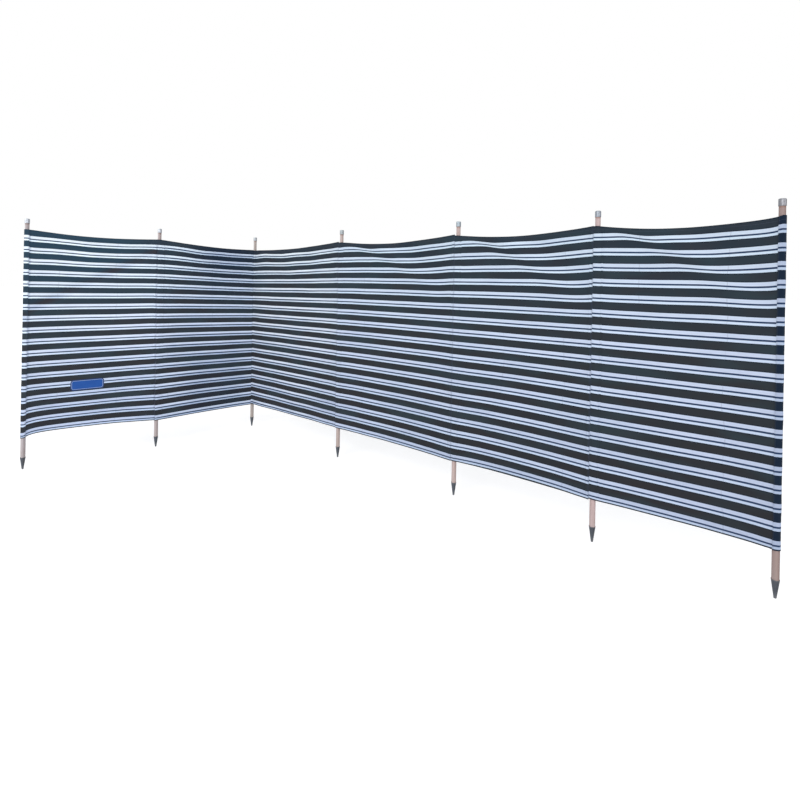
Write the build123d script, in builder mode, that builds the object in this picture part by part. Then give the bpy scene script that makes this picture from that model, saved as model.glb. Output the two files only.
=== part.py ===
import os
from math import cos, hypot, radians, sin

from build123d import *

# Beach windbreak: six bays of striped cloth on seven wooden poles, set out in an L.
# +Z is up, the sheltered side faces -Y, and the origin is the foot of the corner pole.

# Poles, with a zinc cap on top and a steel point below
pole_length = 1372.0  # from the top of the cap to the blunt end of the point
pole_diameter = 23.5  # at the point
pole_top_diameter = 21.0  # at the cap
cap_length = 26.0
cap_wall = 1.2
cap_shoulder = 3.5  # radius that rounds the cap's top
point_length = 65.0
point_wall = 1.2
point_end_diameter = 8.5
point_end_round = 1.5
fit_gap = 0.25  # round the wood inside cap and point

# Cloth
cloth_drop = 58.0  # from the cap's top down to the cloth at a pole
bare_foot = 175.0  # from the cloth down to the point's end
cloth_thickness = 1.6
hem_height = 20.0
hem_thickness = 2.8
top_sag = 26.0
bottom_rise = 4.0  # the lower edge lifts a little between the poles
billow = 12.0  # how far a panel bellies out behind its poles
sleeve_gap = 0.3
wing_length = 30.0  # from a pole's axis to the seam of its panel
end_sleeve_drop = 2.0  # the two end hems hang below the panels

# Layout: distance between poles, and the heading of each bay seen from above
bay_1_span = 670.0
bay_2_span = 674.0
bay_3_span = 940.0
bay_4_span = 825.0
bay_5_span = 684.0
bay_6_span = 608.0
bay_1_heading = 38.0
bay_2_heading = 47.0
bay_3_heading = -41.5
bay_4_heading = -38.5
bay_5_heading = -39.5
bay_6_heading = -36.0

# From the corner outwards on each side
left_bays = [(bay_2_span, bay_2_heading), (bay_1_span, bay_1_heading)]
right_bays = [
    (bay_3_span, bay_3_heading),
    (bay_4_span, bay_4_heading),
    (bay_5_span, bay_5_heading),
    (bay_6_span, bay_6_heading),
]
bays = left_bays[::-1] + right_bays

pole_radius = pole_diameter / 2
pole_top_radius = pole_top_diameter / 2
cap_radius = pole_top_radius + fit_gap + cap_wall
rim_radius = pole_radius + fit_gap + point_wall
point_end_radius = point_end_diameter / 2
sleeve_inner = pole_radius + sleeve_gap
sleeve_outer = sleeve_inner + cloth_thickness
cloth_high = pole_length - cloth_drop
cloth_low = bare_foot

# The wood's turned end keeps the wall and the gap inside the point
point_slope = (rim_radius - point_end_radius) / point_length
inset = (point_wall + fit_gap) * hypot(1, point_slope)
tenon_end_radius = point_end_radius + point_wall * point_slope - inset
tenon_top = (pole_radius + inset - point_end_radius) / point_slope

# Feet of the poles, walked out from the corner
feet = [(0.0, 0.0)]
for span, heading in right_bays:
    x, y = feet[-1]
    feet.append((x + span * cos(radians(heading)), y + span * sin(radians(heading))))
for span, heading in left_bays:
    x, y = feet[0]
    feet.insert(0, (x - span * cos(radians(heading)), y - span * sin(radians(heading))))

os.makedirs("parts", exist_ok=True)

for number, (x, y) in enumerate(feet, 1):
    upright = Plane(origin=(x, y, 0), x_dir=(1, 0, 0), z_dir=(0, -1, 0))
    axis = Axis((x, y, 0), (0, 0, 1))

    with BuildPart() as pole:
        with BuildSketch(upright):
            with BuildLine():
                Polyline(
                    (0, point_wall),
                    (tenon_end_radius, point_wall),
                    (pole_radius, tenon_top),
                    (pole_top_radius, pole_length - cap_length),
                    (pole_top_radius, pole_length - cap_wall),
                    (0, pole_length - cap_wall),
                    close=True,
                )
            make_face()
        revolve(axis=axis)
        fillet(pole.edges().group_by(Axis.Z)[-1], cap_shoulder - cap_wall)
    pole.part.label = f"pole_{number}"
    export_step(pole.part, f"parts/pole_{number}.step")

    with BuildPart() as cap:
        with BuildSketch(Plane(origin=(x, y, pole_length - cap_length))):
            Circle(cap_radius)
        extrude(amount=cap_length)
        fillet(cap.edges().group_by(Axis.Z)[-1], cap_shoulder)
        offset(amount=-cap_wall, openings=cap.faces().sort_by(Axis.Z)[0])
    cap.part.label = f"cap_{number}"
    export_step(cap.part, f"parts/cap_{number}.step")

    with BuildPart() as point:
        with BuildSketch(upright):
            with BuildLine():
                Polyline(
                    (0, 0),
                    (point_end_radius, 0),
                    (rim_radius, point_length),
                    (0, point_length),
                    close=True,
                )
            make_face()
        revolve(axis=axis)
        fillet(point.edges().group_by(Axis.Z)[0], point_end_round)
        offset(amount=-point_wall, openings=point.faces().sort_by(Axis.Z)[-1])
    point.part.label = f"point_{number}"
    export_step(point.part, f"parts/point_{number}.step")

    # Sleeve: cloth right round the pole, with a wing on its sheltered side to each panel
    low = cloth_low - (end_sleeve_drop if number in (1, len(feet)) else 0)
    bands = [
        (low, cloth_high, cloth_thickness),
        (low, low + hem_height, hem_thickness),
        (cloth_high - hem_height, cloth_high, hem_thickness),
    ]
    with BuildPart() as sleeve:
        for bottom, top, thickness in bands:
            with BuildSketch(Plane(origin=(x, y, bottom))):
                Circle(sleeve_outer)
                if number > 1:
                    heading = bays[number - 2][1]
                    side = radians(heading - 90)
                    with Locations((sleeve_outer * cos(side), sleeve_outer * sin(side))):
                        Rectangle(wing_length, thickness, heading, (Align.MAX, Align.MIN))
                if number < len(feet):
                    heading = bays[number - 1][1]
                    side = radians(heading - 90)
                    with Locations((sleeve_outer * cos(side), sleeve_outer * sin(side))):
                        Rectangle(wing_length, thickness, heading, (Align.MIN, Align.MIN))
                Circle(sleeve_inner, mode=Mode.SUBTRACT)
            extrude(amount=top - bottom)
    sleeve.part.label = f"sleeve_{number}"
    export_step(sleeve.part, f"parts/sleeve_{number}.step")

# Panels: a thin sheet that bellies back in plan, hemmed, its edges curved between the poles
edges = [
    (cloth_low, -bottom_rise),
    (cloth_low + hem_height, -bottom_rise),
    (cloth_high - hem_height, top_sag),
    (cloth_high, top_sag),
]
layers = [
    (hem_thickness, [(edges[0], edges[1]), (edges[2], edges[3])]),
    (cloth_thickness, [(edges[0], edges[3])]),
]
front = -sleeve_outer
for number, ((span, heading), (x, y)) in enumerate(zip(bays, feet), 1):
    along = (cos(radians(heading)), sin(radians(heading)), 0)
    start, middle, end = wing_length, span / 2, span - wing_length
    above = Plane(origin=(x, y, cloth_low), x_dir=along, z_dir=(0, 0, 1))
    beside = Plane(origin=(x, y, 0), x_dir=along, z_dir=(along[1], -along[0], 0))
    with BuildPart() as panel:
        for thickness, bands in layers:
            with BuildSketch(above):
                with BuildLine():
                    near = ThreePointArc((start, front), (middle, front + billow), (end, front))
                    far = ThreePointArc(
                        (start, front + thickness),
                        (middle, front + billow + thickness),
                        (end, front + thickness),
                    )
                    Line(near @ 0, far @ 0)
                    Line(near @ 1, far @ 1)
                make_face()
            extrude(amount=cloth_high - cloth_low)
            with BuildSketch(beside):
                for (bottom, dip), (top, top_dip) in bands:
                    with BuildLine():
                        low_edge = ThreePointArc((start, bottom), (middle, bottom - dip), (end, bottom))
                        high_edge = ThreePointArc((start, top), (middle, top - top_dip), (end, top))
                        Line(low_edge @ 0, high_edge @ 0)
                        Line(low_edge @ 1, high_edge @ 1)
                    make_face()
            extrude(amount=span, both=True, mode=Mode.INTERSECT)
    panel.part.label = f"panel_{number}"
    export_step(panel.part, f"parts/panel_{number}.step")

print("feet", [(round(x, 1), round(y, 1)) for x, y in feet])
print("tenon", round(tenon_end_radius, 3), round(tenon_top, 2))
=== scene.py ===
from math import acos, atan2, ceil, cos, exp, hypot, pi, radians, sin, tan

import bmesh
import bpy
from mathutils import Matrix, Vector, noise


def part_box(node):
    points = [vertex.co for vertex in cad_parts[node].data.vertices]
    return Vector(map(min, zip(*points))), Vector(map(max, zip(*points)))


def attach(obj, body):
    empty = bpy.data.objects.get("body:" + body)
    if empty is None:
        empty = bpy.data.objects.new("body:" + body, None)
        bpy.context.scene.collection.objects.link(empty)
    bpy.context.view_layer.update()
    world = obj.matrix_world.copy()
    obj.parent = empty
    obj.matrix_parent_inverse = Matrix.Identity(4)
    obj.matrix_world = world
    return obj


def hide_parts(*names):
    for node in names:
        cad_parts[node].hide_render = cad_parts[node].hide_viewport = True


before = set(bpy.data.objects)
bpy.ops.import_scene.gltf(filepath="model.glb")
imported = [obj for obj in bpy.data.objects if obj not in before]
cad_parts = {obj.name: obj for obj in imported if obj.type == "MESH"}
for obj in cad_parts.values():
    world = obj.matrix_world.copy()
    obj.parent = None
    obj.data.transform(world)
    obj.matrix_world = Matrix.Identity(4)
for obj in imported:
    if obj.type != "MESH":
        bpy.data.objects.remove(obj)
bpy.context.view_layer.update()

scene = bpy.context.scene
poleCount = 7
bayCount = poleCount - 1
cornerPole = 2  # counted from 0


def axisOf(node):
    low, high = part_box(node)
    return Vector(((low[0] + high[0]) / 2, (low[1] + high[1]) / 2))


feet = [axisOf(f"pole_{i}") for i in range(1, poleCount + 1)]
along = [(b - a).normalized() for a, b in zip(feet, feet[1:])]
front = [Vector((d.y, -d.x)) for d in along]  # towards the sheltered side
spans = [(b - a).length for a, b in zip(feet, feet[1:])]
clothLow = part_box("sleeve_4")[0][2]
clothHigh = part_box("sleeve_4")[1][2]
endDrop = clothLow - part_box("sleeve_7")[0][2]  # the end hems hang lower


# lists of six go bay by bay, lists of seven pole by pole, from the left end
cloth = {
    "frontLine": 0.0142,  # face of the cloth, in front of the pole axes
    "thickness": 0.0009,
    "seamGap": 0.013,  # from an inner pole's axis to the seam on its left
    "cornerGap": 0.007,  # the same at the corner pole
    "hemGap": 0.0065,  # the first and last panel end under the end hems
    "bend": (0.005, 0.003),  # its line is rounded over the first, its facing over the second
    "tuck": (0.0007, 0.0035),  # how far a seam's edges turn in, and over what width
    "pucker": (0.0005, 0.025, 150),  # small puckers along a seam: size, reach and pace
    # how much higher the stripes start after each inner pole: top edge, middle, bottom
    "jog": [
        None,
        (-0.001, -0.001, -0.002),
        (-0.003, 0.001, 0.006),
        (-0.006, -0.001, -0.003),
        (-0.009, -0.0005, 0.002),
        (-0.004, 0.0037, 0.005),
    ],
    "jogReach": 0.09,  # along the bay
    "jogFade": (0.05, 0.3),  # down from the top, and up from the bottom
    "topSag": [0.013, 0.009, 0.012, 0.0208, 0.0208, 0.0208],
    "sagReach": [0.17, 0.17, 0.17, 0.20, 0.20, 0.20],
    "farSag": [1.0, 1.0, 1.0, 0.85, 0.8, 0.55],  # below 1, the sag lasts longer to the next pole
    "sagNarrows": (0.6, 0.15),  # lower down the sag draws in: how much, and over what depth
    "fadeOut": 1.5,  # how suddenly sag and pole drop end
    "topRoll": [0.003, 0.003, 0.003, 0.0055, 0.0055, 0.0055],  # the top edge leans over
    "rollReach": 0.009,
    # below the edge the stripes stay level, then step down:
    # where the step ends, how that moves with depth, its length and its share
    "step": [
        (0.43, 0.26, 0.33, 0.7),
        (0.47, 0.26, 0.36, 0.7),
        (0.38, 0.68, 0.29, 0.7),
        (0.24, 2.6, 0.24, 0.85),
        (0.24, 2.6, 0.24, 0.85),
        (0.24, 2.6, 0.24, 0.85),
    ],
    "stepDepth": (0.04, 0.28, 0.2),  # it comes in over the first, and goes after the second
    "poleDrop": [0.005, 0.016, 0.022, 0.012, 0.005, 0.002, 0.0],
    "dropReach": 0.26,
    "poleSettle": [-0.004, -0.006, 0.013, 0.0, 0.0, 0.0, 0.0],  # the whole cloth's height
    "foldStart": [0.50, 0.55, 0.45, 0.41, 0.41, 0.41],  # where the sag is lowest, on the top edge
    "foldDrift": [0.3, 0.3, 0.8, 1.78, 1.78, 1.78],  # and how that moves along the bay lower down
    "foldEnd": 0.86,  # but not past this share of the bay
    "foldDepth": [0.003, 0.002, 0.004, 0.008, 0.009, 0.010],
    "foldWidth": 0.0785714,
    "foldReach": 0.27,
    "belly": 0.011,
    "flat": 0.12,  # share of the bay beside each pole where the cloth is held flat
    # a slack fold down across the first bay, through this spot
    "slant": {"spot": (0.66, 1.24), "slope": 0.57, "depth": 0.005, "width": 0.035},
    "bottomRise": [0.008, 0.000, 0.000, 0.000, 0.0055, 0.0043],
    "poleRise": [0.012, -0.012, -0.002, 0.006, -0.003, -0.0005, -0.0055],
    "firstDip": (0.018, 0.030),  # but the first end hem is pulled down, over this length
    "riseReach": [0.18, 0.18, 0.16, 0.13, 0.17, 0.12],
    "squeeze": (0.0090, 0.14),  # the last stripes are drawn up by this much, over this height
    "gather": [0.0, 0.0, 0.0, 0.001, 0.005, 0.001],  # and by this much more half way along
    "ripple": 0.0030,
    "rippleWaves": [(1.3, 5.0, 2.6, 0.0), (0.4, 17.0, 7.0, 40)],  # share, waves along and up, seed
    "sway": 0.0012,  # stripes wave this much all over
    "highSway": (0.0040, 0.03, 0.22),  # and this much more from the first depth, over the second
    "swayFree": 0.06,
    "hemHeight": 0.017,
}


def ease(x):
    x = min(1.0, max(0.0, x))
    return x * x * (3 - 2 * x)


def arch(s):
    # 0 at both poles, 1 half way between them
    return 4 * s * (1 - s)


def fromPoles(values, bay, s):
    return (1 - s) * values[bay] + s * values[bay + 1]


def wavesAt(x, y, perX, perY, seed):
    return noise.noise(Vector((x * perX, y * perY, seed)))


def mitre(pole):
    # where the front lines of two bays meet, measured past the pole on the first of them
    if pole in (0, bayCount):
        return 0.0
    a, b = along[pole - 1], along[pole]
    return cloth["frontLine"] * tan(atan2(a.x * b.y - a.y * b.x, a.dot(b)) / 2)


def seamGap(pole):
    return cloth["cornerGap"] if pole == cornerPole else cloth["seamGap"]


def onLine(bay, t):
    return feet[bay] + along[bay] * t + front[bay] * cloth["frontLine"]


def leadIn(bay):
    # what a bay's cloth covers before its own line starts
    return seamGap(bay) if bay else 0.0


def startOf(bay):
    return -mitre(bay) if bay else cloth["hemGap"]


def lengthOf(bay):
    last = bay == bayCount - 1
    end = spans[bay] + (-cloth["hemGap"] if last else mitre(bay + 1) - seamGap(bay + 1))
    return leadIn(bay) + end - startOf(bay)


def runAt(bay, a):
    # distance along the bay's own line for a distance along its cloth
    return startOf(bay) + a - leadIn(bay)


def planRaw(bay, a):
    if a < leadIn(bay):
        return onLine(bay, startOf(bay)) - along[bay - 1] * (leadIn(bay) - a)
    return onLine(bay, runAt(bay, a))


def planAt(bay, a):
    rounded, facing = cloth["bend"]
    reach = max(0.0, min(rounded, a))
    before, here, after = (planRaw(bay, a + k * reach) for k in (-1, 0, 1))
    spot = (before + here * 2 + after) / 4
    way = planRaw(bay, a + facing) - planRaw(bay, max(0.0, a - facing))
    return spot, Vector((way.y, -way.x)).normalized()


def lowPoint(bay, depth):
    return min(cloth["foldEnd"], cloth["foldStart"][bay] + cloth["foldDrift"][bay] * depth)


def hangAt(bay, s, depth):
    # 1 where the sag is full, 0 at the poles
    low = lowPoint(bay, depth)
    narrows, over = cloth["sagNarrows"]
    power = (1 if s < low else cloth["farSag"][bay]) + narrows * ease(depth / over)
    hang = sin(pi / 2 * (s / low if s < low else (1 - s) / (1 - low))) ** power
    if s < low:
        end, drift, length, share = cloth["step"][bay]
        end = min(low, end + drift * depth)
        comes, leaves, over = cloth["stepDepth"]
        late = share * ease(depth / comes) * (1 - ease((depth - leaves) / over))
        hang += (ease((s - end + length) / length) - hang) * late
    return hang


def riseAt(bay, s, height):
    # how far the bottom edge is lifted, less and less higher up
    rise = cloth["bottomRise"][bay] * arch(s) + fromPoles(cloth["poleRise"], bay, s)
    if bay == 0:
        dip, reach = cloth["firstDip"]
        rise -= dip * exp(-s * spans[0] / reach)
    return rise * exp(-((height / cloth["riseReach"][bay]) ** 2))


def dropAt(bay, s, v):
    # how far a point of the cloth lies below its height on the flat cloth
    depth = max(0.0, clothHigh - v)
    hang = hangAt(bay, s, depth)
    sag = cloth["topSag"][bay] * hang
    sag *= exp(-((depth / cloth["sagReach"][bay]) ** cloth["fadeOut"]))
    poles = fromPoles(cloth["poleDrop"], bay, s)
    poles *= exp(-((depth / cloth["dropReach"]) ** cloth["fadeOut"]))
    poles += fromPoles(cloth["poleSettle"], bay, s)
    roll = cloth["topRoll"][bay] * hang * exp(-depth / cloth["rollReach"])
    return sag + poles + roll - riseAt(bay, s, max(0.0, v - clothLow))


def jogAt(pole, v):
    top, middle, bottom = cloth["jog"][pole]
    fromTop, fromBottom = cloth["jogFade"]
    jog = middle + (top - middle) * exp(-max(0.0, clothHigh - v) / fromTop)
    return jog + (bottom - middle) * exp(-max(0.0, v - clothLow) / fromBottom)


def slantAt(u, v):
    # how far above the slack fold; also used by the cloth's finish
    fromPole, height = cloth["slant"]["spot"]
    return v - height + (fromPole - u) * cloth["slant"]["slope"]


def depthAt(bay, s, v):
    # how far behind the front line the cloth lies
    depth = max(0.0, clothHigh - v)
    u = s * spans[bay]
    held = ease(s / cloth["flat"]) * ease((1 - s) / cloth["flat"])
    across = (s - lowPoint(bay, depth)) * spans[bay] / cloth["foldWidth"]
    fold = 1.6 * across * exp(-across * across / 2)  # its crest is about 1
    out = cloth["belly"] * arch(s)
    out += cloth["foldDepth"][bay] * fold * exp(-((depth / cloth["foldReach"]) ** 2)) * held
    if bay == 0:
        slant = cloth["slant"]
        out += slant["depth"] * exp(-((slantAt(u, v) / slant["width"]) ** 2)) * held
    waves = sum(
        share * wavesAt(u, v, long, up, bay * 7.3 + seed)
        for share, long, up, seed in cloth["rippleWaves"]
    )
    return out + held * cloth["ripple"] * waves


def swayAt(bay, s, v):
    depth = max(0.0, clothHigh - v)
    u = s * spans[bay]
    extra, comes, reach = cloth["highSway"]
    sway = cloth["sway"] * wavesAt(u, v, 4, 5, bay + 20.5)
    sway += extra * ease(depth / comes) * exp(-depth / reach) * wavesAt(u, v, 7, 9, bay * 3 + 60.5)
    return sway * ease(s / cloth["swayFree"]) * ease((1 - s) / cloth["swayFree"])


def clothPoint(bay, a, v, behind=0.0):
    spot, facing = planAt(bay, a)
    s = min(1.0, max(0.0, runAt(bay, a) / spans[bay]))
    toEnd = lengthOf(bay) - a
    near = min(a if bay else 1.0, toEnd if bay < bayCount - 1 else 1.0)
    turn, width = cloth["tuck"]
    tuck = turn * (1 - ease(near / width))
    size, reach, pace = cloth["pucker"]
    pucker = size * exp(-near / reach) * sin(v * pace + 4 * wavesAt(v, bay, 9, 1, 3))
    jog = jogAt(bay, v) * exp(-max(0.0, a) / cloth["jogReach"]) if bay else 0.0
    at = spot - facing * (depthAt(bay, s, v) + tuck + pucker + behind)
    return Vector((at.x, at.y, v - dropAt(bay, s, v) + jog + swayAt(bay, s, v)))


def weaveAt(v, bay=0, s=0.0):
    # the height at which the stripes are read
    amount, reach = cloth["squeeze"]
    drawn = amount + cloth["gather"][bay] * arch(min(1.0, max(0.0, s)))
    return v - drawn * exp(-max(0.0, v - clothLow) / reach)


def stations(start, end, fine, coarse, zone):
    # close together at both ends, wider apart between
    count = max(1, round(zone / fine))
    middle = max(1, ceil((end - start - 2 * zone) / coarse))
    head = [start + zone * i / count for i in range(count)]
    body = [start + zone + (end - start - 2 * zone) * i / middle for i in range(middle)]
    tail = [end - zone + zone * i / count for i in range(count + 1)]
    return head + body + tail


def sheetPiece(name, columns, rows, place, uvAt, endsAt, thickness, low=0.0, high=9.0):
    shape = bmesh.new()
    across, up = len(columns) - 1, len(rows) - 1
    bmesh.ops.create_grid(shape, x_segments=across, y_segments=up, size=0.5)
    weave = shape.loops.layers.uv.new("weave")
    ends = shape.loops.layers.uv.new("ends")
    edges = shape.loops.layers.uv.new("edges")
    wide = max(p.co.x for p in shape.verts)
    tall = max(p.co.y for p in shape.verts)
    for p in shape.verts:
        col = columns[round((p.co.x / wide + 1) / 2 * across)]
        row = rows[round((p.co.y / tall + 1) / 2 * up)]
        p.co = place(col, row)
        for loop in p.link_loops:
            loop[weave].uv = uvAt(col, row)
            loop[ends].uv = endsAt(col, row)
            loop[edges].uv = (row - low, high - row)  # from its own bottom and top
    for f in shape.faces:
        f.smooth = True
    data = bpy.data.meshes.new(name)
    shape.to_mesh(data)
    shape.free()
    piece = bpy.data.objects.new(name, data)
    scene.collection.objects.link(piece)
    wall = piece.modifiers.new("thickness", "SOLIDIFY")
    wall.thickness = thickness
    wall.offset = -1
    return piece


# fine steps, coarse steps, and how far in from each edge the fine ones go
mesh = {
    "columns": (0.0017, 0.0075, 0.022),
    "rows": (0.002, 0.0075, 0.024),
    "sleeveRows": (0.002, 0.0075, 0.020),
    "stripColumns": (0.003, 0.009, 0.012),
    "stripRows": (0.002, 0.003, 0.004),
}
hemStrip = {
    "margins": (0.020, 0.010),  # from the bay's two ends
    "inset": 0.0003,
    "air": 0.00012,  # between it and the panel
}
clothStart = [sum(spans[:bay]) for bay in range(bayCount)]  # u of each pole, along the cloth
cornerAt, clothEnd = clothStart[cornerPole], sum(spans)
clothRows = stations(clothLow, clothHigh, *mesh["rows"])
pieces = {}
for bay in range(bayCount):
    length = lengthOf(bay)
    pieces[f"panel_{bay + 1}"] = sheetPiece(
        f"clothBay{bay + 1}", stations(0.0, length, *mesh["columns"]), clothRows,
        lambda a, v: clothPoint(bay, a, v),
        lambda a, v: (clothStart[bay] + runAt(bay, a), weaveAt(v, bay, runAt(bay, a) / spans[bay])),
        lambda a, v: (a if bay else 1.0, length - a if bay < bayCount - 1 else 1.0),
        cloth["thickness"], clothLow, clothHigh,
    )
    first, last = hemStrip["margins"]
    stripColumns = stations(first + leadIn(bay), length - last, *mesh["stripColumns"])
    for end in ("Low", "High"):
        low = clothLow if end == "Low" else clothHigh - cloth["hemHeight"]
        high = low + cloth["hemHeight"]
        turned = weaveAt(clothLow) if end == "Low" else clothHigh  # the cloth folds back here
        pieces[f"{end}{bay + 1}"] = sheetPiece(
            f"hem{end}{bay + 1}", stripColumns,
            stations(low + hemStrip["inset"], high - hemStrip["inset"], *mesh["stripRows"]),
            lambda a, v: clothPoint(bay, a, v, cloth["thickness"] + hemStrip["air"]),
            lambda a, v: (clothStart[bay] + runAt(bay, a), 2 * turned - weaveAt(v)),
            lambda a, v: (1.0, 1.0),
            cloth["thickness"], clothLow, clothHigh,
        )
print("cloth panels:", bayCount)


pocket = {
    "radius": 0.0124,  # inner face, round the pole's axis
    "flange": (0.0195, 0.0270),  # sewn to the panels' backs between these
    "thickness": 0.0008,
    "short": 0.004,  # its ends stay this far inside the panels' edges
    "air": 0.0001,  # between it and the panels' backs
    "overHem": (0.0011, 0.022, 0.004),  # further back behind the hems: how far, to where, over what
    "steps": 20,  # round the pole
    "follow": 0.85,  # share of the stripes' jog that it takes up
}


def between(a, b, count):
    return [a + (b - a) * i / count for i in range(count)]


def arc(radius, first, last, steps):
    return [Vector((cos(t), sin(t))) * radius for t in between(first, last, steps) + [last]]


def reachAlong(line):
    reach = [0.0]
    for a, b in zip(line, line[1:]):
        reach.append(reach[-1] + (b - a).length)
    return reach


def pocketPath(pole, v):
    # in plan, from the end of the left flange round the pole to the end of the right one
    before, after = pole - 1, pole
    near, far = pocket["flange"]
    back, inside, over = pocket["overHem"]
    inHem = max(ease((v - clothHigh + inside) / over), ease((clothLow + inside - v) / over))
    y = -(cloth["frontLine"] - cloth["thickness"] - pocket["air"] - back * inHem)
    half = acos(pocket["radius"] / hypot(near, y))
    leftTurn = atan2(along[before].y, along[before].x)
    rightTurn = atan2(along[after].y, along[after].x)
    steps = (near, (far + near) / 2, far)
    left = [-along[before] * x - front[before] * y for x in reversed(steps)]
    right = [along[after] * x - front[after] * y for x in steps]
    first = leftTurn + (atan2(y, -near) % (2 * pi)) - half
    last = rightTurn + atan2(y, near) + half
    ring = arc(pocket["radius"], first, last, pocket["steps"])
    leftSide = left[:-1] + between(left[-1], ring[0], 3)
    return leftSide + ring + between(ring[-1], right[0], 3)[1:] + right


def pocketPiece(pole):
    before, after = pole - 1, pole
    low, high = clothLow + pocket["short"], clothHigh - pocket["short"]
    pocketRows = stations(low, high, *mesh["sleeveRows"])
    paths = {v: pocketPath(pole, v) for v in pocketRows}
    reach = reachAlong(paths[pocketRows[len(pocketRows) // 2]])
    around, count = reach[-1], len(reach)

    def place(i, v):
        at = paths[v][i]
        leftT = spans[before] + min(0.0, at.dot(along[before]))
        rightT = max(0.0, at.dot(along[after]))
        leftDrop = dropAt(before, leftT / spans[before], v)
        rightDrop = dropAt(after, rightT / spans[after], v) - jogAt(pole, v) * pocket["follow"]
        mixed = leftDrop + (rightDrop - leftDrop) * ease(i / (count - 1))
        return Vector((feet[pole].x + at.x, feet[pole].y + at.y, v - mixed))

    return sheetPiece(
        f"pocket{pole + 1}", list(range(count)), pocketRows, place,
        lambda i, v: (clothStart[after] - around / 2 + reach[i], weaveAt(v)),
        lambda i, v: (reach[i], around - reach[i]),
        pocket["thickness"], low, high,
    ), around


endHem = {
    "radius": 0.0131,  # outer face
    "frontFace": 0.0157,
    "backFace": 0.0108,
    "frontBend": 0.0060,  # where the front leaves the ring, from the pole's axis
    "backBend": 0.0150,
    "frontEdge": 0.0104,  # its stitched edge, from the pole's axis
    "backEdge": 0.0172,
    "thickness": 0.0008,
    "steps": 26,  # round the pole
    "puff": (0.0005, 0.0007),  # even and uneven
    # its stripes against the panel's: bottom, middle, top
    "lift": {0: (-0.005, -0.0005, 0.004), bayCount: (-0.0006, -0.0003, 0.0045)},
    "liftFrom": (0.46, 0.54),  # shares of the height where the top's and the bottom's lift start
    "liftOver": (0.3, 0.5),
}


def hemLift(pole, v):
    bottom, middle, top = endHem["lift"][pole]
    height = (v - clothLow) / (clothHigh - clothLow)
    topFrom, bottomFrom = endHem["liftFrom"]
    topOver, bottomOver = endHem["liftOver"]
    lift = middle + (top - middle) * ease((height - topFrom) / topOver)
    return lift + (bottom - middle) * ease((bottomFrom - height) / bottomOver)


def endHemPath(pole):
    r = endHem["radius"]
    nearFront = (-endHem["frontBend"], -endHem["frontFace"])
    nearBack = (-endHem["backBend"], -endHem["backFace"])
    first = atan2(nearFront[1], nearFront[0]) + acos(r / hypot(*nearFront))
    last = (atan2(nearBack[1], nearBack[0]) % (2 * pi)) - acos(r / hypot(*nearBack))
    ring = arc(r, first, last, endHem["steps"])
    line = between(Vector((-endHem["frontEdge"], -endHem["frontFace"])), Vector(nearFront), 3)
    line += between(Vector(nearFront), ring[0], 4) + ring
    line += between(ring[-1], Vector(nearBack), 4)[1:]
    line += [Vector(nearBack), Vector((-endHem["backEdge"], -endHem["backFace"]))]
    if pole:
        return line
    return [Vector((-p.x, p.y)) for p in reversed(line)]  # the other way round, still facing out


def endHemPiece(pole):
    side = 1 if pole else -1  # which way the pole lies from its panel
    bay = bayCount - 1 if pole else 0
    fromStart = spans[bay] if pole else 0
    line = endHemPath(pole)
    reach = reachAlong(line)
    around = reach[-1]
    low = clothLow - endDrop
    even, uneven = endHem["puff"]

    def place(i, v):
        p = line[i]
        s = min(1.0, max(0.0, (p.x + fromStart) / spans[bay]))
        puff = even * sin(v * 42 + 2 * i / len(line)) + uneven * wavesAt(i, v, 0.12, 14, pole)
        grow = 1 + max(0.0, puff) / endHem["radius"]
        at = feet[pole] + along[bay] * (p.x * grow) - front[bay] * (p.y * grow)
        return Vector((at.x, at.y, v - dropAt(bay, s, max(v, clothLow))))

    return sheetPiece(
        f"endHem{pole + 1}", list(range(len(line))),
        stations(low, clothHigh, *mesh["sleeveRows"]), place,
        lambda i, v: (clothStart[bay] + fromStart + side * reach[i], weaveAt(v) - hemLift(pole, v)),
        lambda i, v: (reach[i], around - reach[i]),
        endHem["thickness"], low, clothHigh,
    ), around


sleeves = {}
for pole in range(poleCount):
    inner = 0 < pole < poleCount - 1
    sleeves[pole] = pocketPiece(pole) if inner else endHemPiece(pole)
print("pockets and end hems:", len(sleeves))


patch = {
    "centre": (0.2960, 0.428),  # along the bay, and height on the cloth
    "size": (0.168, 0.062),
    "corner": 0.017,
    "border": 0.0045,
    "piping": (0.0012, 0.0030),  # inside the border, from and to
    "thickness": 0.0009,
    "rise": 0.0011,  # in front of the panel
    "borderRise": 0.0005,
    "bevel": 0.0012,
    "columns": (0.0012, 0.004),  # fine and coarse steps
    "rows": (0.0012, 0.003),
}


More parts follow.
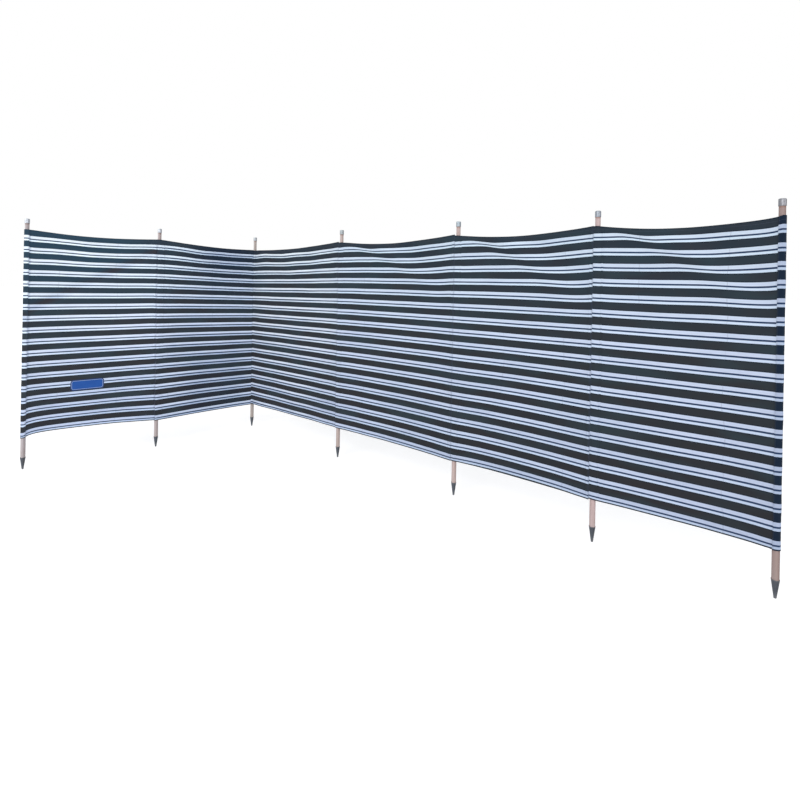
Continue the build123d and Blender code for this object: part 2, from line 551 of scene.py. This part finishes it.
def patchPiece():
    halfWidth, halfHeight = patch["size"][0] / 2, patch["size"][1] / 2
    r = patch["corner"]
    a0 = patch["centre"][0] - startOf(0)
    v0 = patch["centre"][1]

    def inside(x, y):
        # a rectangle's points drawn in to its rounded corners
        cx, cy = halfWidth - r, halfHeight - r
        dx, dy = abs(x) - cx, abs(y) - cy
        if dx > 0 and dy > 0:
            far = max(dx, dy) / hypot(dx, dy)
            dx, dy = dx * far, dy * far
            x = (cx + dx) * (1 if x > 0 else -1)
            y = (cy + dy) * (1 if y > 0 else -1)
        return x, y

    def place(x, y):
        x, y = inside(x, y)
        pastX, pastY = abs(x) - halfWidth, abs(y) - halfHeight
        edge = max(pastX, pastY)  # 0 on the outline, negative inside
        if pastX > -r and pastY > -r:
            edge = hypot(pastX + r, pastY + r) - r
        bevel = patch["bevel"]
        rise = patch["rise"] + patch["borderRise"] * ease((edge + patch["border"]) / bevel)
        rise -= bevel * ease((edge + bevel) / bevel)
        return clothPoint(0, a0 + x, v0 + y, -rise)

    return sheetPiece(
        "sewnPatch",
        stations(-halfWidth, halfWidth, *patch["columns"], r),
        stations(-halfHeight, halfHeight, *patch["rows"], r),
        place, inside,
        lambda x, y: (1.0, 1.0),
        patch["thickness"],
    )


patchSewn = patchPiece()
print("patch sewn on")


class Value:
    # one socket, so that shader maths reads as plain arithmetic
    def __init__(self, finish, socket):
        self.finish, self.socket = finish, socket

    def maths(self, operation, *values, clamp=False):
        settings = {"operation": operation, "use_clamp": clamp}
        return self.finish.node("ShaderNodeMath", settings, dict(enumerate(values)))

    def __add__(self, other):
        return self.maths("ADD", self, other)

    __radd__ = __add__

    def __sub__(self, other):
        return self.maths("SUBTRACT", self, other)

    def __rsub__(self, other):
        return self.maths("SUBTRACT", other, self)

    def __mul__(self, other):
        return self.maths("MULTIPLY", self, other)

    __rmul__ = __mul__

    def __truediv__(self, other):
        return self.maths("DIVIDE", self, other)

    def __pow__(self, other):
        return self.maths("POWER", self, other)

    def __mod__(self, other):
        return self.maths("FLOORED_MODULO", self, other)

    def size(self):
        return self.maths("ABSOLUTE", self)

    def positive(self):
        return self.maths("MAXIMUM", self, 0.0)

    def wave(self):
        return self.maths("SINE", self)

    def clamped(self):
        return self.maths("ADD", self, 0.0, clamp=True)

    def above(self, edge, soft):
        # 0 below the edge, 1 above it, over the width of soft
        return self.maths("MULTIPLY_ADD", self, 1 / soft, 0.5 - edge / soft, clamp=True)

    def below(self, edge, soft):
        return 1 - self.above(edge, soft)

    def inside(self, low, high, soft):
        return self.above(low, soft) * self.below(high, soft)


# the first pole to the last along x, and each one's share of that
run = {"start": -1.0, "length": 3.4, "shares": [0.0, 0.16, 0.29, 0.50, 0.69, 0.85, 0.99]}


class Tree:
    def __init__(self, tree):
        self.tree = tree

    def node(self, kind, settings=None, values=None, output=0):
        made = self.tree.nodes.new(kind)
        for key, value in (settings or {}).items():
            if key == "stops":
                ramp = made.color_ramp.elements
                while len(ramp) < len(value):
                    ramp.new(0.5)
                for stop, (place, colour) in zip(ramp, value):
                    stop.position, stop.color = place, (*colour, 1)
            else:
                setattr(made, key, value)
        for key, value in (values or {}).items():
            socket = made.inputs[key]
            if isinstance(value, Value):
                self.tree.links.new(value.socket, socket)
            elif socket.type == "RGBA" and len(value) == 3:
                socket.default_value = (*value, 1)
            else:
                socket.default_value = value
        return Value(self, made.outputs[output])

    def other(self, value, output):
        return Value(self, value.socket.node.outputs[output])

    def split(self, vector):
        x = self.node("ShaderNodeSeparateXYZ", None, {0: vector})
        return x, self.other(x, 1), self.other(x, 2)

    def layer(self, name):
        return self.node("ShaderNodeUVMap", {"uv_map": name})

    def spot(self):
        return self.node("ShaderNodeTexCoord", None, None, output="Object")

    def noise(self, vector, scale, detail=2.0, rough=0.5):
        values = {"Vector": vector, "Scale": scale, "Detail": detail, "Roughness": rough}
        return self.node("ShaderNodeTexNoise", None, values)

    def scaled(self, vector, scale):
        return self.node("ShaderNodeMapping", None, {"Vector": vector, "Scale": scale})

    def streaks(self, vector, scale, detail=2.0, rough=0.5):
        # noise drawn out by a scale of its own along each axis
        return self.noise(self.scaled(vector, scale), 1.0, detail, rough)

    def mix(self, factor, a, b, blend="MIX"):
        settings = {"data_type": "RGBA", "blend_type": blend}
        return self.node("ShaderNodeMix", settings, {0: factor, 6: a, 7: b}, output=2)

    def tint(self, factor, colour, by):
        return self.mix(factor, colour, by, "MULTIPLY")

    def byPole(self, x, colours):
        # a colour for each pole, from the first to the last
        stops = list(zip(run["shares"], colours))
        share = (x - run["start"]) / run["length"]
        return self.node("ShaderNodeValToRGB", {"stops": stops}, {0: share})

    def seenRays(self):
        # 1 for what the camera, a reflection or glass sees, 0 for light on the object
        camera = self.node("ShaderNodeLightPath", None, None, output="Is Camera Ray")
        glossy, through = (self.other(camera, f"Is {k} Ray") for k in ("Glossy", "Transmission"))
        return (camera + glossy + through).clamped()

    def shadedSide(self):
        # painted shade: 1 on the +x side of a pole, cap or point, which is painted darker as if in
        # shade, 0 on its lit side
        normal = self.node("ShaderNodeNewGeometry", None, None, output="Normal")
        return self.split(normal)[0].above(0.25, 1.3)

    def bump(self, height, strength):
        values = {"Height": height, "Distance": 1.0, "Strength": strength}
        return self.node("ShaderNodeBump", None, values)


class Finish(Tree):
    def __init__(self, name, **constants):
        self.material = bpy.data.materials.new(name)
        self.material.use_nodes = True
        super().__init__(self.material.node_tree)
        self.shader = self.tree.nodes["Principled BSDF"]
        for socket, value in constants.items():
            self.shader.inputs[socket.replace("_", " ")].default_value = value

    def feed(self, name, value):
        self.tree.links.new(value.socket, self.shader.inputs[name])


stripes = {
    "repeat": 0.0635,
    "firstEdge": 0.0016,  # top of the first dark band, below the cloth's edge
    "dark": 0.0334,
    "widePale": 0.01415,
    "line": 0.0066,
    "lineWider": 0.0009,  # in the middle bays
    "lineSoft": 0.0009,
    "soft": 0.0005,
    "rim": (0.0030, 0.0035),  # the bluer edge of a dark band, and how it fades
    "hairs": [(0.0374, 0.0379, 0.0004), (0.0414, 0.0419, 0.0004)],  # two thin lines in the pale
    "topEdge": 0.0035,  # the dark edge that shows along the top
    "bottomEdge": 0.0050,
    "thread": 0.0011,  # one thread of the weave and its gap
    "darkHigh": (0.0200, 0.0375, 0.0560),
    "darkMiddle": (0.0250, 0.0350, 0.0430),
    "darkLow": (0.0215, 0.0255, 0.0310),
    "darkWarm": (0.0330, 0.0275, 0.0310),
    "darkFold": (0.0300, 0.0540, 0.0680),
    "darkRim": (0.0050, 0.0135, 0.0270),
    "darkTeal": (0.0225, 0.0500, 0.0780),
    "darkDim": (0.0050, 0.0140, 0.0330),
    "paleHigh": (0.690, 0.845, 0.940),
    "paleMiddle": (0.640, 0.755, 0.920),
    "paleLow": (0.540, 0.640, 0.805),
    "paleShade": (0.500, 0.600, 0.800),
    "paleDim": (0.390, 0.480, 0.640),
    "palePaintedLight": (0.840, 0.930, 0.960),
    "lineColour": (0.0110, 0.0300, 0.0850),
    # the painted shade along a crease
    "crease": (0.10, 0.12, 0.20),
    # tints
    "midBaysLift": (1.25, 1.22, 1.14),  # painted light: lifts the pale above the thin line in the middle bays
    "midBaysBelowLine": (0.86, 0.88, 0.91),
    "coldAbove": (0.970, 0.935, 0.945),
    "lastBay": (0.965, 0.955, 0.965),
    # painted light on the first two bays
    "firstBays": (1.2, 1.2, 1.2),
}

stitching = {
    "pitch": 0.0046,
    "dash": (0.0006, 0.0036, 0.0005),  # within one pitch
    "seamRow": (0.0027, 0.0034, 0.0005),  # from the seam
    "hemRow": (0.0147, 0.0155, 0.0004),  # from the top or bottom edge
    "seamThread": (0.20, 0.24, 0.33),
    "hemThread": (0.16, 0.20, 0.30),
    "seamShade": (0.05, 0.065, 0.12),  # painted shade along a seam
}

# places along the cloth from the first pole (u) and up it (v), with the width over which each
# fades; most mark where light or shade is painted on the cloth, a few where its tone or its thin
# line changes
zones = {
    "midBays": (0.70, 2.02, 0.12),
    "upper": (1.05, 0.5),
    "lower": (0.52, 0.6),
    "tealLightU": (0.62, 0.35),
    "tealLightV": (0.90, 0.55),
    "paintedLightU": (0.62, 0.5),
    "paintedLightV": (0.80, 0.9),
    "foldU": (0.655, 0.02),
    "foldHalf": (0.024, 0.034),  # half the slack fold's height
    "cornerHighU": (0.92, cornerAt, 0.25),
    "cornerHighV": (1.02, 0.4),
    "cornerLowU": (0.86, 1.26, 0.16),
    "cornerLowV": (0.52, 0.4),
    "besideCornerU": (0.72, cornerAt, 0.1),
    "besideCornerV": (0.95, 0.3),
    "longSideLightU": (cornerAt, 2.25, 0.10),
    "longSideLightV": (0.55, 0.5),
    "firstLowU": (0.80, 0.4),
    "firstLowV": (0.55, 0.5),
    "firstBays": (cornerAt, 0.010),
    "firstSeam": (0.004, 0.018, 0.006),
    "lastBay": (3.95, 0.5),
    "lastHem": (clothEnd + 0.001, 0.008),
}

# pressed in by folding; the centre is where one lies within the pitch
creases = {"pitch": 0.293, "centre": 0.146, "wander": 0.05, "half": (0.0014, 0.0020)}


def clothFinish(name, seams=True):
    c = Finish(name, Specular_IOR_Level=0.08, Sheen_Weight=0.04, Sheen_Roughness=0.5)
    s, stitches = stripes, stitching
    uv = c.layer("weave")
    u, v = c.split(uv)[:2]
    fromStart, fromEnd = c.split(c.layer("ends"))[:2]
    fromLow, fromHigh = c.split(c.layer("edges"))[:2]
    slow = c.noise(uv, 6.0, 3.0)
    fine = c.noise(uv, 160.0, 2.0)
    drift = c.streaks(uv, (3.0, 9.0, 1.0))
    streaks = c.streaks(uv, (9.0, 420.0, 1.0), 3.0, 0.6)

    # the woven bands, by how far a spot lies below the top of its dark band
    wobble = (fine - 0.5) * 0.0005
    phase = ((clothHigh - s["firstEdge"] + wobble) - v) % s["repeat"]
    soft = s["soft"]
    edges = fromHigh.below(s["topEdge"], soft) + fromLow.below(s["bottomEdge"], soft)
    dark = (phase.inside(-0.01, s["dark"], soft) + edges).clamped()
    midBays = u.inside(*zones["midBays"])
    wider = midBays * s["lineWider"]
    lineTop = s["dark"] + s["widePale"]
    line = phase.inside(lineTop - wider, lineTop + s["line"] + wider, s["lineSoft"]) * (1 - dark)
    hair = (phase.inside(*s["hairs"][0]) + phase.inside(*s["hairs"][1])) * (1 - dark)
    rimWidth, rimSoft = s["rim"]
    rim = 1 - phase.inside(rimWidth, s["dark"] - rimWidth, rimSoft)
    aboveLine = phase.below(lineTop + s["line"] / 2, 0.002)

    # colour by place: lighter and bluer at the top, greyer low down; painted light on the first
    # bays and high on the long side; painted shade at the corner, along the slack fold and at the
    # end hems
    dye = (slow * 1.6 - 0.3).clamped()
    upper = v.above(*zones["upper"])
    lower = v.below(*zones["lower"])
    tealLight = u.below(*zones["tealLightU"]) * v.above(*zones["tealLightV"])
    paintedLight = u.below(*zones["paintedLightU"]) * v.above(*zones["paintedLightV"]) * 0.6
    slant = slantAt(u, v)
    fold = slant.size().below(*zones["foldHalf"]) * u.below(*zones["foldU"])
    fold = fold * drift.above(0.40, 0.25)
    cornerHigh = u.inside(*zones["cornerHighU"]) * v.above(*zones["cornerHighV"])
    cornerLow = u.inside(*zones["cornerLowU"]) * v.below(*zones["cornerLowV"])
    besideCorner = u.inside(*zones["besideCornerU"]) * v.below(*zones["besideCornerV"])
    # painted light high on the long side past the corner
    longSideLight = u.inside(*zones["longSideLightU"]) * v.above(*zones["longSideLightV"])
    firstLow = u.below(*zones["firstLowU"]) * v.below(*zones["firstLowV"])
    firstSeam = u.inside(*zones["firstSeam"])
    lastHem = u.above(*zones["lastHem"])

    tone = c.mix(upper, s["darkMiddle"], s["darkHigh"])
    tone = c.mix(lower, tone, s["darkLow"])
    tone = c.mix(dye * 0.65, tone, s["darkWarm"])
    # painted highlight: lighter teal patches on the dark bands where folds would catch light,
    # placed by noise
    tone = c.mix(drift.above(0.56, 0.16) * 0.45, tone, s["darkFold"])
    tone = c.mix(rim * 0.8, tone, s["darkRim"])
    # painted light: a teal glow on the first bay's upper dark bands, stronger above the slack fold
    tone = c.mix(tealLight * (slant.above(-0.02, 0.06) * 0.45 + 0.45), tone, s["darkTeal"])
    # painted shade: the dark bands turn brown-black along the slack fold
    tone = c.mix(fold * 0.75, tone, s["darkWarm"])
    # painted shade: the dark bands are dimmed at the corner and on the last end hem
    dim = (cornerHigh * 0.7 + cornerLow * 0.3 + lastHem * 0.9).clamped()
    darkTone = c.mix(dim, tone, s["darkDim"])

    tone = c.mix(upper, s["paleMiddle"], s["paleHigh"])
    tone = c.mix(lower, tone, s["paleLow"])
    tone = c.mix((streaks * 0.4 + dye * 0.35 - 0.1).clamped(), tone, s["paleShade"])
    # painted light: the pale is whitened on the first bay's upper left and high on the long side
    tone = c.mix((paintedLight + longSideLight * 0.35).clamped(), tone, s["palePaintedLight"])
    # painted shade: the pale is dimmed at the corner, low on the first bay, beside the first end
    # hem, along the slack fold and on the last end hem
    dim = cornerHigh * 0.85 + cornerLow * 0.85 + firstLow * 0.2 + lastHem * 0.75
    dim = dim + firstSeam * 0.5 + fold * 0.45 + besideCorner * 0.22
    dim = dim + drift.above(0.50, 0.24) * (lower * 0.30 + 0.14)
    tone = c.mix(dim.clamped(), tone, s["paleDim"])
    # painted light: the middle bays' pale is lifted, most above the thin line and low down
    high = midBays * (lower * 0.45 + 0.55) * (aboveLine * 0.85 + 0.15)
    tone = c.tint(high, tone, s["midBaysLift"])
    tone = c.tint(midBays * (1 - aboveLine) * 0.6, tone, s["midBaysBelowLine"])
    tone = c.tint(aboveLine, tone, s["coldAbove"])
    paleTone = c.tint(u.above(*zones["lastBay"]), tone, s["lastBay"])

    colour = c.mix(dark, paleTone, darkTone)
    colour = c.mix(line * 0.97, colour, s["lineColour"])
    colour = c.mix(hair * 0.08, colour, s["lineColour"])
    # painted light: the first two bays are brightened by a fifth
    colour = c.tint(u.below(*zones["firstBays"]), colour, s["firstBays"])

    # pressed creases from folding, broken here and there; the pale is darkened along them with
    # painted shade
    wander = (c.streaks(uv, (2.0, 5.0, 1.0)) - 0.5) * creases["wander"]
    fromCrease = ((u + wander) % creases["pitch"] - creases["centre"]).size()
    crease = fromCrease.below(*creases["half"]) * c.noise(uv, 5.5, 1.0).above(0.50, 0.12)
    colour = c.mix(crease * (1 - dark) * 0.24, colour, s["crease"])

    pace = 2 * pi / s["thread"]
    height = (u * pace).wave() * (v * pace).wave() * 0.00012 + crease * -0.0003
    height = height + (slow - 0.5) * 0.0010
    if seams:
        dashes = (v % stitches["pitch"]).inside(*stitches["dash"])
        rows = fromStart.inside(*stitches["seamRow"]) + fromEnd.inside(*stitches["seamRow"])
        stitch = (rows * dashes).clamped()
        # painted shade on the cloth beside each seam
        seamShadeMask = fromEnd.below(0.005, 0.009) * 0.22 + fromStart.below(0.002, 0.004) * 0.10
        colour = c.mix(seamShadeMask.clamped(), colour, stitches["seamShade"])
        colour = c.mix(stitch * (0.34 - dark * 0.28), colour, stitches["seamThread"])
        height = height + stitch * 0.0005
    rows = fromHigh.inside(*stitches["hemRow"]) + fromLow.inside(*stitches["hemRow"])
    stitch = rows * (u % stitches["pitch"]).inside(*stitches["dash"])
    colour = c.mix(stitch * 0.3, colour, stitches["hemThread"])
    height = height + stitch * 0.0004 - rows * 0.0003
    c.feed("Base Color", colour)
    c.feed("Roughness", 0.86 - dark * 0.08 + (fine - 0.5) * 0.1)
    c.feed("Normal", c.bump(height, 0.7))
    return c.material


twillColours = {
    "blue": (0.010, 0.068, 0.310),
    "worn": (0.015, 0.090, 0.370),
    "rib": (0.030, 0.125, 0.420),
    "border": (0.012, 0.035, 0.130),
    "borderShine": (0.022, 0.065, 0.210),
    "piping": (0.46, 0.56, 0.72),
    "ribs": 0.0014,
    "threads": 0.0011,
}


def patchFinish():
    p = Finish("patchTwill", Specular_IOR_Level=0.25, Sheen_Weight=0.1)
    t = twillColours
    uv = p.layer("weave")
    x, y = p.split(uv)[:2]
    r = patch["corner"]
    dx = (x.size() - (patch["size"][0] / 2 - r)).positive()
    dy = (y.size() - (patch["size"][1] / 2 - r)).positive()
    edge = (dx * dx + dy * dy) ** 0.5 - r  # 0 on the outline, negative inside
    border = edge.above(-patch["border"], 0.0004)
    near, far = patch["piping"]
    piping = edge.inside(-patch["border"] - far, -patch["border"] - near, 0.0004)
    twill = ((x + y) * (2 * pi / t["ribs"])).wave()
    satin = ((x - y * 0.4) * (2 * pi / t["threads"])).wave()
    soil = p.noise(uv, 30.0, 3.0)
    ground = p.mix((soil * 1.4 - 0.2).clamped(), t["blue"], t["worn"])
    ground = p.mix(twill.above(0.0, 1.6) * 0.25, ground, t["rib"])
    thread = p.mix(satin.above(0.0, 1.6) * 0.5, t["border"], t["borderShine"])
    p.feed("Base Color", p.mix(piping * 0.8, p.mix(border, ground, thread), t["piping"]))
    p.feed("Roughness", 0.72 - border * 0.2 + (soil - 0.5) * 0.1)
    p.feed("Normal", p.bump(twill * (1 - border) * 0.00006 + satin * border * 0.00012, 0.8))
    return p.material


timber = {
    # each pole is its own piece of wood: the first ones are the palest, partly with painted light,
    # and the last one's much darker colour is painted shade
    "poles": [
        (0.610, 0.585, 0.620),
        (0.580, 0.525, 0.540),
        (0.515, 0.495, 0.475),
        (0.600, 0.510, 0.490),
        (0.620, 0.495, 0.480),
        (0.610, 0.475, 0.480),
        (0.330, 0.250, 0.240),
    ],
    "grain": (0.330, 0.235, 0.205),
    "fleck": (0.230, 0.140, 0.110),
    "underCap": (0.270, 0.150, 0.110),  # darker just below the cap
    "sand": (0.330, 0.270, 0.250),  # grey from wet sand near the point
    "paintedShade": (0.42, 0.34, 0.31),
    "lastPole": (2.2, 0.1),  # the last pole gets the most painted shade on its +x side
}


def woodFinish():
    w = Finish("paleTurnedWood", Specular_IOR_Level=0.3)
    t = timber
    spot = w.spot()
    x, y, z = w.split(spot)
    bend = w.streaks(spot, (6.0, 6.0, 2.5))
    grain = w.streaks(spot, (420.0, 420.0, 6.0), 3.0, 0.62)
    rings = ((w.streaks(spot, (55.0, 55.0, 1.6)) + bend * 0.5) * 26.0).wave() * 0.5 + 0.5
    fleck = w.streaks(spot, (900.0, 900.0, 40.0), 1.0).above(0.66, 0.1)
    colour = w.mix((rings * 0.26 + grain * 0.30).clamped(), w.byPole(x, t["poles"]), t["grain"])
    colour = w.mix(fleck * 0.35, colour, t["fleck"])
    underCap = z.above(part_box("cap_4")[0][2] - 0.006, 0.008)
    colour = w.mix(underCap * 0.65, colour, t["underCap"])
    sand = z.below(0.125, 0.09) * w.noise(spot, 45.0, 3.0)
    colour = w.mix((sand * 0.55).clamped(), colour, t["sand"])
    # painted shade: each pole's +x side is darkened, the last pole's most
    paintedShade = w.shadedSide() * (x.above(*t["lastPole"]) * 0.55 + 0.42)
    colour = w.tint(paintedShade, colour, t["paintedShade"])
    w.feed("Base Color", colour)
    w.feed("Roughness", 0.58 + grain * 0.14)
    w.feed("Normal", w.bump(grain * 0.00022 + rings * 0.00008 - fleck * 0.00015, 0.8))
    return w.material


zincColours = {
    "dark": (0.624, 0.672, 0.736),
    "bright": (0.896, 0.944, 1.0),
    "dull": (0.190, 0.195, 0.215),
    "paintedShade": (0.42, 0.41, 0.43),
    # the caps are lighter at the first poles and darker at the last ones
    "poles": [
        (1.0, 1.0, 1.0),
        (0.95, 0.94, 0.93),
        (0.70, 0.70, 0.68),
        (0.59, 0.61, 0.59),
        (0.54, 0.59, 0.60),
        (0.44, 0.45, 0.47),
        (0.40, 0.38, 0.38),
    ],
}


def zincFinish():
    m = Finish("brightZinc", Metallic=1.0)
    t = zincColours
    spot = m.spot()
    x, y, z = m.split(spot)
    cells = {"Vector": m.scaled(spot, (230.0, 230.0, 160.0)), "Scale": 1.0}
    spangle = m.node("ShaderNodeTexVoronoi", {"feature": "F1"}, cells, output="Color")
    flake = m.split(spangle)[0]
    scuff = m.streaks(spot, (500.0, 500.0, 60.0), 3.0, 0.65)
    stain = m.noise(spot, 85.0, 3.0).above(0.62, 0.15)
    rim = z.below(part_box("cap_4")[1][2] - 0.0235, 0.003)
    colour = m.mix(flake * 0.5, t["dark"], t["bright"])
    colour = m.tint(1.0, colour, m.byPole(x, t["poles"]))
    colour = m.mix((stain * 0.5 + rim * 0.45).clamped(), colour, t["dull"])
    # painted shade: the cap's +x side is darkened
    colour = m.tint(m.shadedSide() * 0.85, colour, t["paintedShade"])
    m.feed("Base Color", colour)
    m.feed("Roughness", 0.30 + flake * 0.12 + scuff * 0.16)
    m.feed("Normal", m.bump(flake * 0.00005 + scuff * 0.00009, 0.6))
    return m.material


steelColours = {
    "dark": (0.085, 0.097, 0.120),
    "light": (0.165, 0.178, 0.205),
    "farPoles": (0.050, 0.054, 0.064),
    "worn": (0.300, 0.310, 0.330),
    "rust": (0.150, 0.085, 0.050),
    "paintedShade": (0.42, 0.42, 0.40),
}


def pointFinish():
    m = Finish("darkPointSteel", Metallic=1.0)
    t = steelColours
    spot = m.spot()
    x, y, z = m.split(spot)
    drawn = m.streaks(spot, (700.0, 700.0, 18.0), 3.0, 0.6)
    dull = m.noise(spot, 70.0, 4.0, 0.6)
    wear = z.below(0.012, 0.03) * 0.6 + drawn.above(0.63, 0.12) * 0.35
    rim = z.inside(0.0628, 0.0642, 0.0006)
    rust = dull.above(0.66, 0.1) * z.below(0.045, 0.05)
    colour = m.mix((dull * 1.5 - 0.25).clamped(), t["dark"], t["light"])
    colour = m.mix(x.above(0.9, 2.4) * 0.6, colour, t["farPoles"])
    colour = m.mix((wear * 0.6 + rim * 0.5).clamped(), colour, t["worn"])
    colour = m.mix(rust * 0.5, colour, t["rust"])
    # painted shade: the point's +x side is darkened
    colour = m.tint(m.shadedSide() * 0.8, colour, t["paintedShade"])
    m.feed("Base Color", colour)
    m.feed("Roughness", 0.36 + dull * 0.22 + rust * 0.25)
    m.feed("Normal", m.bump(drawn * 0.00014 + dull * 0.0001, 0.7))
    return m.material


stripedPanel = clothFinish("stripedCloth")
stripedPlain = clothFinish("stripedClothUnseamed", seams=False)
finishOf = {"pole": woodFinish(), "cap": zincFinish(), "point": pointFinish()}
twill = patchFinish()
for i in range(1, poleCount + 1):
    for kind, material in finishOf.items():
        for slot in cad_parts[f"{kind}_{i}"].material_slots:
            slot.material = material
print("finishes made")


def dress(piece, material):
    piece.data.materials.append(material)
    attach(piece, "root")


clothTall = clothHigh - clothLow
for bay in range(bayCount):
    panel, low, high = (pieces[f"{kind}{bay + 1}"] for kind in ("panel_", "Low", "High"))
    dress(panel, stripedPanel)
    for strip in (low, high):
        dress(strip, stripedPlain)
    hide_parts(f"panel_{bay + 1}")
    lengthOf(bay)
    [low, high] + ([patchSewn] if bay == 0 else [])
dress(patchSewn, twill)
for pole, (sleeve, around) in sleeves.items():
    inner = 0 < pole < bayCount
    dress(sleeve, stripedPlain if inner else stripedPanel)
    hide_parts(f"sleeve_{pole + 1}")
    tall = clothTall + (0 if inner else endDrop)
    f"pole_{pole + 1}"


studio = {
    "floorRadius": 60.0,
    "floorColour": (0.80, 0.80, 0.80),
    "floorGrit": (0.76, 0.76, 0.76),
    "floorLift": 0.42,
    "roomLight": (0.70, 0.705, 0.715),
    # strength, where it comes from, and its spread in degrees
    "keyLight": (1.25, (-0.50, -0.74, 0.45), 35),
    "sideLight": (0.75, (0.62, -0.70, 0.36), 24),  # reaches the first bay past the long side
}

ground = bmesh.new()
bmesh.ops.create_circle(ground, cap_ends=True, segments=96, radius=studio["floorRadius"])
groundData = bpy.data.meshes.new("floor")
ground.to_mesh(groundData)
ground.free()
floor = bpy.data.objects.new("floor", groundData)
scene.collection.objects.link(floor)

paper = Finish("palePaper", Roughness=0.9, Specular_IOR_Level=0.1, Emission_Strength=1.0)
grit = paper.noise(paper.spot(), 8.0)
lift = (studio["floorLift"],) * 3
paper.feed("Base Color", paper.mix(grit * 0.06, studio["floorColour"], studio["floorGrit"]))
paper.feed("Emission Color", paper.mix(paper.seenRays(), (0.0, 0.0, 0.0), lift))
floor.data.materials.append(paper.material)

world = bpy.data.worlds.new("softRoom")
scene.world = world
world.use_nodes = True
air = Tree(world.node_tree)
room = air.node("ShaderNodeBackground", None, {"Color": studio["roomLight"]})
white = air.node("ShaderNodeBackground", None, {"Color": (1.0, 1.0, 1.0)})
both = air.node("ShaderNodeMixShader", None, {0: air.seenRays(), 1: room, 2: white})
air.tree.links.new(both.socket, air.tree.nodes["World Output"].inputs[0])

for name in ("keyLight", "sideLight"):
    strength, comesFrom, spread = studio[name]
    data = bpy.data.lights.new(name, "SUN")
    data.energy = strength
    data.angle = radians(spread)
    light = bpy.data.objects.new(name, data)
    light.rotation_euler = Vector(comesFrom).to_track_quat("Z", "Y").to_euler()
    scene.collection.objects.link(light)

view = {"place": (1.0613, -3.6459, 1.0533), "lens": 22.5, "roll": -1.10, "shiftDown": 0.145}
cameraData = bpy.data.cameras.new("camera")
cameraData.sensor_width = 36
cameraData.lens = view["lens"]
cameraData.shift_y = -view["shiftDown"]
camera = bpy.data.objects.new("camera", cameraData)
camera.location = view["place"]
camera.rotation_euler = (radians(90), radians(view["roll"]), 0)
scene.collection.objects.link(camera)
scene.camera = camera
scene.view_settings.view_transform = "Standard"
print("floor, light and camera set")
